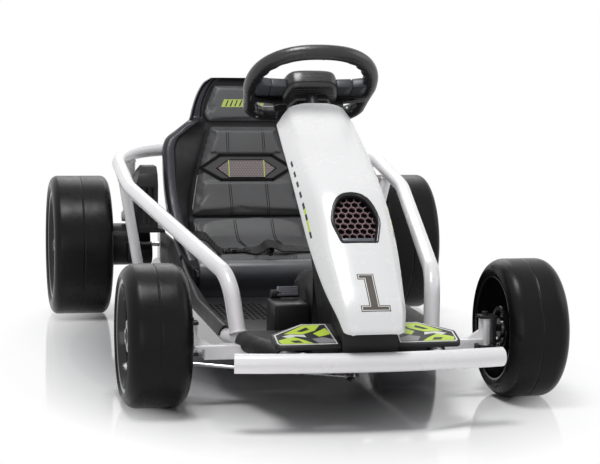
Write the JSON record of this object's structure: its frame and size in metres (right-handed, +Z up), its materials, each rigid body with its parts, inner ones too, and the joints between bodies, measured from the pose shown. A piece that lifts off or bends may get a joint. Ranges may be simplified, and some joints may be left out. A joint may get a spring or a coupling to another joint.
{
  "type": "electric drift kart",
  "caption": "Children's ride-on electric drift kart with a white tube frame, bucket seat, smooth black tyres, working steering and a raised nose hood",
  "frame": {"origin": "on the floor under the middle of the kart's bounding box", "axes": "+Z up, the kart drives towards -Y, +X is the driver's left"},
  "size_m": [0.83, 1.3004, 0.5911],
  "materials": {
    "white_paint": "gloss white paint",
    "white_plastic": "gloss white moulding",
    "black_plastic": "satin black moulding",
    "gloss_black": "gloss black moulding",
    "black_rubber": "satin black rubber",
    "tyre_rubber": "smooth black tyre with a satin sheen",
    "grey_leather": "dark grey leatherette with stitched seams",
    "steel": "bright steel"
  },
  "bodies": {
    "chassis": {"main_tube_left": "white_paint", "main_tube_right": "white_paint", "side_rail_left": "white_paint", "side_rail_right": "white_paint", "hoop_crossbar": "white_paint", "rail_strut_left": "white_paint", "rail_strut_right": "white_paint", "hoop_leg_left": "white_paint", "hoop_leg_right": "white_paint", "rear_outrigger": "white_paint", "rear_crosstube": "white_paint", "front_beam": "white_paint", "front_bumper": "white_paint", "tube_sleeve_left": "black_rubber", "tube_sleeve_right": "black_rubber", "floor_tub": "black_plastic", "foot_deck": "black_plastic", "column_shroud": "black_plastic", "pedal_box": "black_plastic", "accelerator_pedal": "black_plastic", "seat_shell": "black_plastic", "seat_bolster_left": "black_plastic", "seat_bolster_right": "black_plastic", "side_pod_left": "black_plastic", "side_pod_right": "black_plastic", "gearbox_left": "black_plastic", "gearbox_right": "black_plastic", "lap_belt": "black_plastic", "nose_hood": "white_plastic", "hood_vent": "gloss_black", "seat_cushion": "grey_leather", "back_cushion": "grey_leather", "headrest_pad": "grey_leather", "rear_axle": "steel"},
    "steering": {"steering_wheel": "black_plastic", "steering_column": "black_plastic"},
    "knuckle_left": {"knuckle_left": "black_plastic"},
    "tie_rod_left": {"tie_rod_left": "steel"},
    "wheel_front_left": {"front_tyre_left": "tyre_rubber", "front_rim_left": "gloss_black"},
    "wheel_rear_left": {"rear_tyre_left": "tyre_rubber", "rear_rim_left": "gloss_black"},
    "knuckle_right": {"knuckle_right": "black_plastic"},
    "tie_rod_right": {"tie_rod_right": "steel"},
    "wheel_front_right": {"front_tyre_right": "tyre_rubber", "front_rim_right": "gloss_black"},
    "wheel_rear_right": {"rear_tyre_right": "tyre_rubber", "rear_rim_right": "gloss_black"}
  },
  "joints": [
    {"name": "steering_turn", "type": "hinge", "parent": "chassis", "child": "steering", "pos_m": [0, -0.158, 0.515], "axis": [0, 0.6157, 0.788], "range_deg": [-40, 40]},
    {"name": "knuckle_left_turn", "type": "hinge", "parent": "chassis", "child": "knuckle_left", "pos_m": [0.2525, -0.4185, 0.1], "axis": [0, 0, 1], "range_deg": [-20, 20]},
    {"name": "tie_rod_left_pivot", "type": "hinge", "parent": "knuckle_left", "child": "tie_rod_left", "pos_m": [0.2525, -0.3685, 0.06], "axis": [0, 0, 1], "range_deg": [-20, 20]},
    {"name": "front_wheel_left_spin", "type": "hinge", "parent": "knuckle_left", "child": "wheel_front_left", "pos_m": [0.3155, -0.4185, 0.11775], "axis": [1, 0, 0], "continuous": true},
    {"name": "rear_wheel_left_spin", "type": "hinge", "parent": "chassis", "child": "wheel_rear_left", "pos_m": [0.3535, 0.5025, 0.14768], "axis": [1, 0, 0], "continuous": true},
    {"name": "knuckle_right_turn", "type": "hinge", "parent": "chassis", "child": "knuckle_right", "pos_m": [-0.2525, -0.4185, 0.1], "axis": [0, 0, 1], "range_deg": [-20, 20]},
    {"name": "tie_rod_right_pivot", "type": "hinge", "parent": "knuckle_right", "child": "tie_rod_right", "pos_m": [-0.2525, -0.3685, 0.06], "axis": [0, 0, 1], "range_deg": [-20, 20]},
    {"name": "front_wheel_right_spin", "type": "hinge", "parent": "knuckle_right", "child": "wheel_front_right", "pos_m": [-0.3155, -0.4185, 0.11775], "axis": [1, 0, 0], "continuous": true},
    {"name": "rear_wheel_right_spin", "type": "hinge", "parent": "chassis", "child": "wheel_rear_right", "pos_m": [-0.3535, 0.5025, 0.14768], "axis": [1, 0, 0], "continuous": true}
  ],
  "couplings": [
    {"joint": "knuckle_left_turn", "follows": "steering_turn", "ratio": 0.5},
    {"joint": "tie_rod_left_pivot", "follows": "steering_turn", "ratio": -0.5},
    {"joint": "knuckle_right_turn", "follows": "steering_turn", "ratio": 0.5},
    {"joint": "tie_rod_right_pivot", "follows": "steering_turn", "ratio": -0.5}
  ]
}
